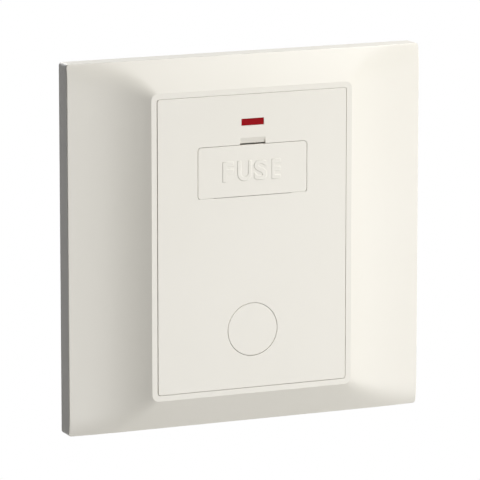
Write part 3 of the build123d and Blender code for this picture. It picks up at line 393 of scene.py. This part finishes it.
# Tinted polycarbonate: deep red with a faint swirl from moulding, and hardly any gloss on its etched front.
# The etching is 0.02 mm; it is drawn at 0.15 mm so that it shows in a close view.
red_lens = start_material("red_polycarbonate")
where = add(red_lens, "ShaderNodeTexCoord", {}, output="Object")
swirl = add(red_lens, "ShaderNodeTexNoise", {"Vector": where, "Scale": per_mm(1.2), "Detail": 2.0})
tint = add(
    red_lens,
    "ShaderNodeMix",
    {"Factor": swirl, "A": linear("9A1019"), "B": linear("A6141D")},
    data_type="RGBA",
)
etch = add(red_lens, "ShaderNodeTexNoise", {"Vector": where, "Scale": per_mm(0.15), "Detail": 2.0})
matt = add(red_lens, "ShaderNodeMapRange", {"Value": etch, "To Min": 0.44, "To Max": 0.56})
relief = add(red_lens, "ShaderNodeBump", {"Height": etch, "Strength": 0.08, "Distance": 0.01 * MM})
surface = add(
    red_lens,
    "ShaderNodeBsdfPrincipled",
    {"Base Color": tint, "Roughness": matt, "Normal": relief, "IOR": 1.58, "Specular IOR Level": 0.03},
)
add(red_lens, "ShaderNodeOutputMaterial", {"Surface": surface})
dress(red_lens, "neon_lens")

# Fuse carrier
# The door that tilts out on two pins at its lower edge and brings the fuse with it.
# The same ivory polycarbonate, with the raised word that says what is behind it.

WORD_HEIGHT = 4.85
WORD_RELIEF = 0.08
# The left and right edge of each letter, measured from the middle of the door.
WORD_LETTERS = {"F": (-7.7, -4.8), "U": (-3.9, -0.2), "S": (0.3, 3.7), "E": (4.85, 7.2)}

dress(ivory, "fuse_carrier")
low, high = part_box("fuse_carrier")
for letter, (left, right) in WORD_LETTERS.items():
    raised = raised_letter(
        f"carrier_letter_{letter.lower()}",
        letter,
        (right - left) * MM,
        WORD_HEIGHT * MM,
        WORD_RELIEF * MM,
        Vector(((left + right) / 2 * MM, low[1], (low[2] + high[2]) / 2)),
        FACE_FRONT,
    )
    raised.data.materials.append(ivory)
    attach(raised, "carrier")

# Cartridge fuse
# A ceramic tube with two plated caps and a wire between them, snapped into the carrier.
# Steatite tube, drawn brass caps under nickel, tinned copper wire.

# Unglazed steatite: chalky white with faint grey specks.
ceramic = start_material("steatite_ceramic")
where = add(ceramic, "ShaderNodeTexCoord", {}, output="Object")
specks = add(ceramic, "ShaderNodeTexNoise", {"Vector": where, "Scale": per_mm(0.4), "Detail": 4.0})
tint = add(
    ceramic,
    "ShaderNodeMix",
    {"Factor": specks, "A": linear("DAD7CE"), "B": linear("F0EEE8")},
    data_type="RGBA",
)
dullness = add(ceramic, "ShaderNodeMapRange", {"Value": specks, "To Min": 0.45, "To Max": 0.6})
relief = add(ceramic, "ShaderNodeBump", {"Height": specks, "Strength": 0.15, "Distance": 0.02 * MM})
surface = add(
    ceramic, "ShaderNodeBsdfPrincipled", {"Base Color": tint, "Roughness": dullness, "Normal": relief}
)
add(ceramic, "ShaderNodeOutputMaterial", {"Surface": surface})
dress(ceramic, "fuse_tube")

# Bright nickel: pale warm silver with soft drawing marks round the cap.
nickel = start_material("bright_nickel")
where = add(nickel, "ShaderNodeTexCoord", {}, output="Object")
marks = add(nickel, "ShaderNodeTexNoise", {"Vector": where, "Scale": per_mm(1.0), "Detail": 4.0})
tint = add(
    nickel,
    "ShaderNodeMix",
    {"Factor": marks, "A": linear("BDB8AE"), "B": linear("D6D2C9")},
    data_type="RGBA",
)
dullness = add(nickel, "ShaderNodeMapRange", {"Value": marks, "To Min": 0.16, "To Max": 0.3})
relief = add(nickel, "ShaderNodeBump", {"Height": marks, "Strength": 0.08, "Distance": 0.01 * MM})
surface = add(
    nickel,
    "ShaderNodeBsdfPrincipled",
    {"Base Color": tint, "Roughness": dullness, "Normal": relief, "Metallic": 1.0},
)
add(nickel, "ShaderNodeOutputMaterial", {"Surface": surface})
dress(nickel, "fuse_caps", "fuse_element")

# Outlet plug
# The round blank that closes the flex outlet when no flex is fitted.
# The same ivory polycarbonate, pushed into the collar behind the panel.
dress(ivory, "outlet_plug")

# Cord clamp
# A bar across the cord way that holds a flex against the housing.
# Moulded in the same glass-filled nylon as the housing.
dress(nylon, "cord_clamp")

# Fixing screws
# Two long screws through the slots of the frame into the lugs of the wall box.
# Steel, slotted, with a rolled M3.5 thread and a waisted neck, zinc plated like the frame.

THREAD_R = 1.75
THREAD_PITCH = 0.6
THREAD_DEPTH = 0.35
THREAD_TURN_STEPS = 20
THREAD_SPARE_TURNS = 2
HEAD_HEIGHT = 2.2
HEAD_SLOT_DEPTH = 1.0
HEAD_SLOT_WIDTH = 0.9
HEAD_EDGE = 0.25
HEAD_EDGE_SEGMENTS = 3
NECK_LENGTH = 1.5
HEAD_SEGMENTS = 48
MERGE_DISTANCE = 0.001

low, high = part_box("fixing_screws")
head_r = (high[2] - low[2]) / 2 / MM
tip_y = high[1] / MM
head_front_y = low[1] / MM
neck_y = head_front_y + HEAD_HEIGHT

screws = bmesh.new()
for side in (-1, 1):
    x = side * (high[0] / MM - head_r)
    screw = bmesh.new()
    # The thread is one tooth wound up the shank, then cut square at both ends.
    tooth = [
        screw.verts.new((radius, y, 0.0))
        for radius, y in (
            (THREAD_R - THREAD_DEPTH, 0.0),
            (THREAD_R, THREAD_PITCH / 2),
            (THREAD_R - THREAD_DEPTH, THREAD_PITCH),
        )
    ]
    flanks = [screw.edges.new(pair) for pair in zip(tooth, tooth[1:])]
    turns = math.ceil((tip_y - neck_y) / THREAD_PITCH) + THREAD_SPARE_TURNS
    bmesh.ops.translate(screw, verts=tooth, vec=(0.0, neck_y, 0.0))
    bmesh.ops.spin(
        screw,
        geom=tooth + flanks,
        cent=(0.0, 0.0, 0.0),
        axis=(0.0, 1.0, 0.0),
        dvec=(0.0, THREAD_PITCH / THREAD_TURN_STEPS, 0.0),
        angle=2 * math.pi * turns,
        steps=THREAD_TURN_STEPS * turns,
    )
    bmesh.ops.remove_doubles(screw, verts=screw.verts[:], dist=MERGE_DISTANCE)
    for cut_y, outward in ((neck_y + NECK_LENGTH, -1.0), (tip_y, 1.0)):
        bmesh.ops.bisect_plane(
            screw,
            geom=screw.verts[:] + screw.edges[:] + screw.faces[:],
            plane_co=(0.0, cut_y, 0.0),
            plane_no=(0.0, outward, 0.0),
            clear_outer=True,
        )
    bmesh.ops.holes_fill(screw, edges=[edge for edge in screw.edges if edge.is_boundary])
    # The neck is a plain rod between the head and the thread.
    bmesh.ops.create_cone(
        screw,
        cap_ends=True,
        segments=HEAD_SEGMENTS,
        radius1=THREAD_R - THREAD_DEPTH,
        radius2=THREAD_R - THREAD_DEPTH,
        depth=NECK_LENGTH + THREAD_PITCH,
        matrix=Matrix.Translation((0.0, neck_y + NECK_LENGTH / 2, 0.0)) @ FACE_FRONT,
    )
    # The head starts as a disc at the floor of the slot; its two outer parts rise to either side of it.
    disc = bmesh.ops.create_circle(
        screw,
        cap_ends=True,
        segments=HEAD_SEGMENTS,
        radius=head_r,
        matrix=Matrix.Translation((0.0, head_front_y + HEAD_SLOT_DEPTH, 0.0)) @ FACE_FRONT,
    )
    head_faces = list({face for vert in disc["verts"] for face in vert.link_faces})
    for cut in (-HEAD_SLOT_WIDTH / 2, HEAD_SLOT_WIDTH / 2):
        cut_geom = head_faces + list({edge for face in head_faces for edge in face.edges})
        cut_geom += list({vert for face in head_faces for vert in face.verts})
        pieces = bmesh.ops.bisect_plane(
            screw, geom=cut_geom, plane_co=(0.0, 0.0, cut), plane_no=(0.0, 0.0, 1.0)
        )["geom"]
        head_faces = [piece for piece in pieces if isinstance(piece, bmesh.types.BMFace)]
    rim = [edge for edge in {edge for face in head_faces for edge in face.edges} if edge.is_boundary]
    lugs = [face for face in head_faces if abs(face.calc_center_median().z) > HEAD_SLOT_WIDTH / 2]
    lifted = bmesh.ops.extrude_face_region(screw, geom=lugs)["geom"]
    lifted_verts = [piece for piece in lifted if isinstance(piece, bmesh.types.BMVert)]
    lifted_faces = [piece for piece in lifted if isinstance(piece, bmesh.types.BMFace)]
    bmesh.ops.delete(screw, geom=lugs, context="FACES_ONLY")
    bmesh.ops.translate(screw, verts=lifted_verts, vec=(0.0, -HEAD_SLOT_DEPTH, 0.0))
    skirt = bmesh.ops.extrude_edge_only(screw, edges=rim)["geom"]
    skirt_verts = [piece for piece in skirt if isinstance(piece, bmesh.types.BMVert)]
    skirt_edges = [piece for piece in skirt if isinstance(piece, bmesh.types.BMEdge)]
    bmesh.ops.translate(screw, verts=skirt_verts, vec=(0.0, HEAD_HEIGHT - HEAD_SLOT_DEPTH, 0.0))
    bmesh.ops.holes_fill(screw, edges=[edge for edge in skirt_edges if edge.is_boundary])
    crown = list({edge for face in lifted_faces for edge in face.edges})
    bmesh.ops.bevel(
        screw,
        geom=crown,
        offset=HEAD_EDGE,
        offset_type="OFFSET",
        affect="EDGES",
        segments=HEAD_EDGE_SEGMENTS,
        profile=0.5,
        material=-1,
    )
    bmesh.ops.recalc_face_normals(screw, faces=screw.faces[:])
    bmesh.ops.translate(screw, verts=screw.verts[:], vec=(x, 0.0, 0.0))
    part = bpy.data.meshes.new("one_fixing_screw")
    screw.to_mesh(part)
    screw.free()
    screws.from_mesh(part)
    bpy.data.meshes.remove(part)
bmesh.ops.scale(screws, verts=screws.verts[:], vec=(MM, MM, MM))
fixing_mesh = bpy.data.meshes.new("threaded_fixing_screws")
screws.to_mesh(fixing_mesh)
screws.free()
fixing_mesh.materials.append(zinc_steel)
fixing_screws = bpy.data.objects.new("threaded_fixing_screws", fixing_mesh)
bpy.context.collection.objects.link(fixing_screws)
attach(fixing_screws, "spur_body")
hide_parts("fixing_screws")

# Cover plate
# The outer shell, pushed over the panel until its fingers catch in the slots of the frame.
# The same ivory polycarbonate in one moulding, with a flared front that ends in a flat strip.
dress(ivory, "cover_plate")

# Floor, light and camera
# A plain pale floor below the part, soft boxes round it and a white surround.
# The camera stands where the photograph was taken from: left of the front and a little above.

# Places and distances round the part are in metres.
FLOOR_Z = -0.25
FLOOR_HALF = 0.55
FLOOR_GLOW = 0.5


def seen_directly(owner):
    """1 for what the camera sees, also in metal or through glass, and 0 for light that falls on the part."""
    shown = add(owner, "ShaderNodeLightPath", {}, output="Is Camera Ray")
    rays = shown.node.outputs
    for kind in ("Is Glossy Ray", "Is Transmission Ray"):
        either = add(owner, "ShaderNodeMath", {}, operation="MAXIMUM")
        owner.node_tree.links.new(shown, either.node.inputs[0])
        owner.node_tree.links.new(rays[kind], either.node.inputs[1])
        shown = either
    return shown


# Matt emulsion with a faint cloudiness. It glows a little where it is seen, so that it stays pale.
floor_paint = start_material("pale_floor_paint")
where = add(floor_paint, "ShaderNodeTexCoord", {}, output="Object")
patches = add(floor_paint, "ShaderNodeTexNoise", {"Vector": where, "Scale": per_mm(60.0), "Detail": 2.0})
tint = add(
    floor_paint,
    "ShaderNodeMix",
    {"Factor": patches, "A": linear("F0F0EF"), "B": linear("F4F4F3")},
    data_type="RGBA",
)
matt = add(floor_paint, "ShaderNodeBsdfDiffuse", {"Color": tint})
lift = add(floor_paint, "ShaderNodeMath", {"Value": seen_directly(floor_paint)}, operation="MULTIPLY")
lift.node.inputs[1].default_value = FLOOR_GLOW
glow = add(floor_paint, "ShaderNodeEmission", {"Strength": lift})
both = add(floor_paint, "ShaderNodeAddShader", {})
floor_paint.node_tree.links.new(matt, both.node.inputs[0])
floor_paint.node_tree.links.new(glow, both.node.inputs[1])
add(floor_paint, "ShaderNodeOutputMaterial", {"Surface": both})

sheet = bmesh.new()
bmesh.ops.create_grid(
    sheet, x_segments=2, y_segments=2, size=FLOOR_HALF, matrix=Matrix.Translation((0.0, 0.0, FLOOR_Z))
)
floor_mesh = bpy.data.meshes.new("floor")
sheet.to_mesh(floor_mesh)
sheet.free()
floor_mesh.materials.append(floor_paint)
floor = bpy.data.objects.new("floor", floor_mesh)
bpy.context.collection.objects.link(floor)

surround = bpy.data.worlds.new("white_surround")
surround.use_nodes = True
surround.node_tree.nodes.clear()
sky = add(
    surround, "ShaderNodeBackground", {"Color": (1.0, 1.0, 1.0, 1.0), "Strength": seen_directly(surround)}
)
add(surround, "ShaderNodeOutputWorld", {"Surface": sky})
bpy.context.scene.world = surround


def direction(azimuth, elevation):
    """The way from the part to a place round it. Azimuth 0 is straight in front, 90 to the right."""
    turn, rise = math.radians(azimuth), math.radians(elevation)
    return Vector(
        (math.sin(turn) * math.cos(rise), -math.cos(turn) * math.cos(rise), math.sin(rise))
    )


# Each soft box: name, azimuth, elevation, distance, side of its square face, brightness of its face.
LAMPS = (
    ("upper_softbox", 62, 54, 0.5, 0.25, 11.5),
    ("right_softbox", 50, -22, 0.6, 0.3, 4.4),
    ("low_softbox", 16, -22, 0.9, 0.45, 8.8),
    ("back_softbox", 180, 12, 0.9, 0.45, 4.5),
)
for name, azimuth, elevation, distance, face_side, brightness in LAMPS:
    light = bpy.data.lights.new(name, "AREA")
    light.shape = "SQUARE"
    light.size = face_side
    # The brightness of a lamp's face is its energy divided by pi and by the face's area.
    light.energy = brightness * math.pi * face_side * face_side
    lamp = bpy.data.objects.new(name, light)
    away = direction(azimuth, elevation)
    lamp.location = away * distance
    lamp.rotation_mode = "QUATERNION"
    lamp.rotation_quaternion = away.to_track_quat("Z", "Y")
    bpy.context.collection.objects.link(lamp)

IMAGE_PIXELS = 480
SENSOR_WIDTH = 36.0
FOCAL_PIXELS = 4300.6
CAMERA_AZIMUTH = -23.409
CAMERA_ELEVATION = 10.839
CAMERA_DISTANCE = 1.02017
CAMERA_TARGET = Vector((0.000653, 0.0, -0.001315))

optics = bpy.data.cameras.new("camera")
optics.sensor_width = SENSOR_WIDTH
optics.lens = FOCAL_PIXELS / IMAGE_PIXELS * SENSOR_WIDTH
camera = bpy.data.objects.new("camera", optics)
away = direction(CAMERA_AZIMUTH, CAMERA_ELEVATION)
camera.location = CAMERA_TARGET + away * CAMERA_DISTANCE
camera.rotation_mode = "QUATERNION"
camera.rotation_quaternion = away.to_track_quat("Z", "Y")
bpy.context.collection.objects.link(camera)
bpy.context.scene.camera = camera
bpy.context.scene.view_settings.view_transform = "Standard"
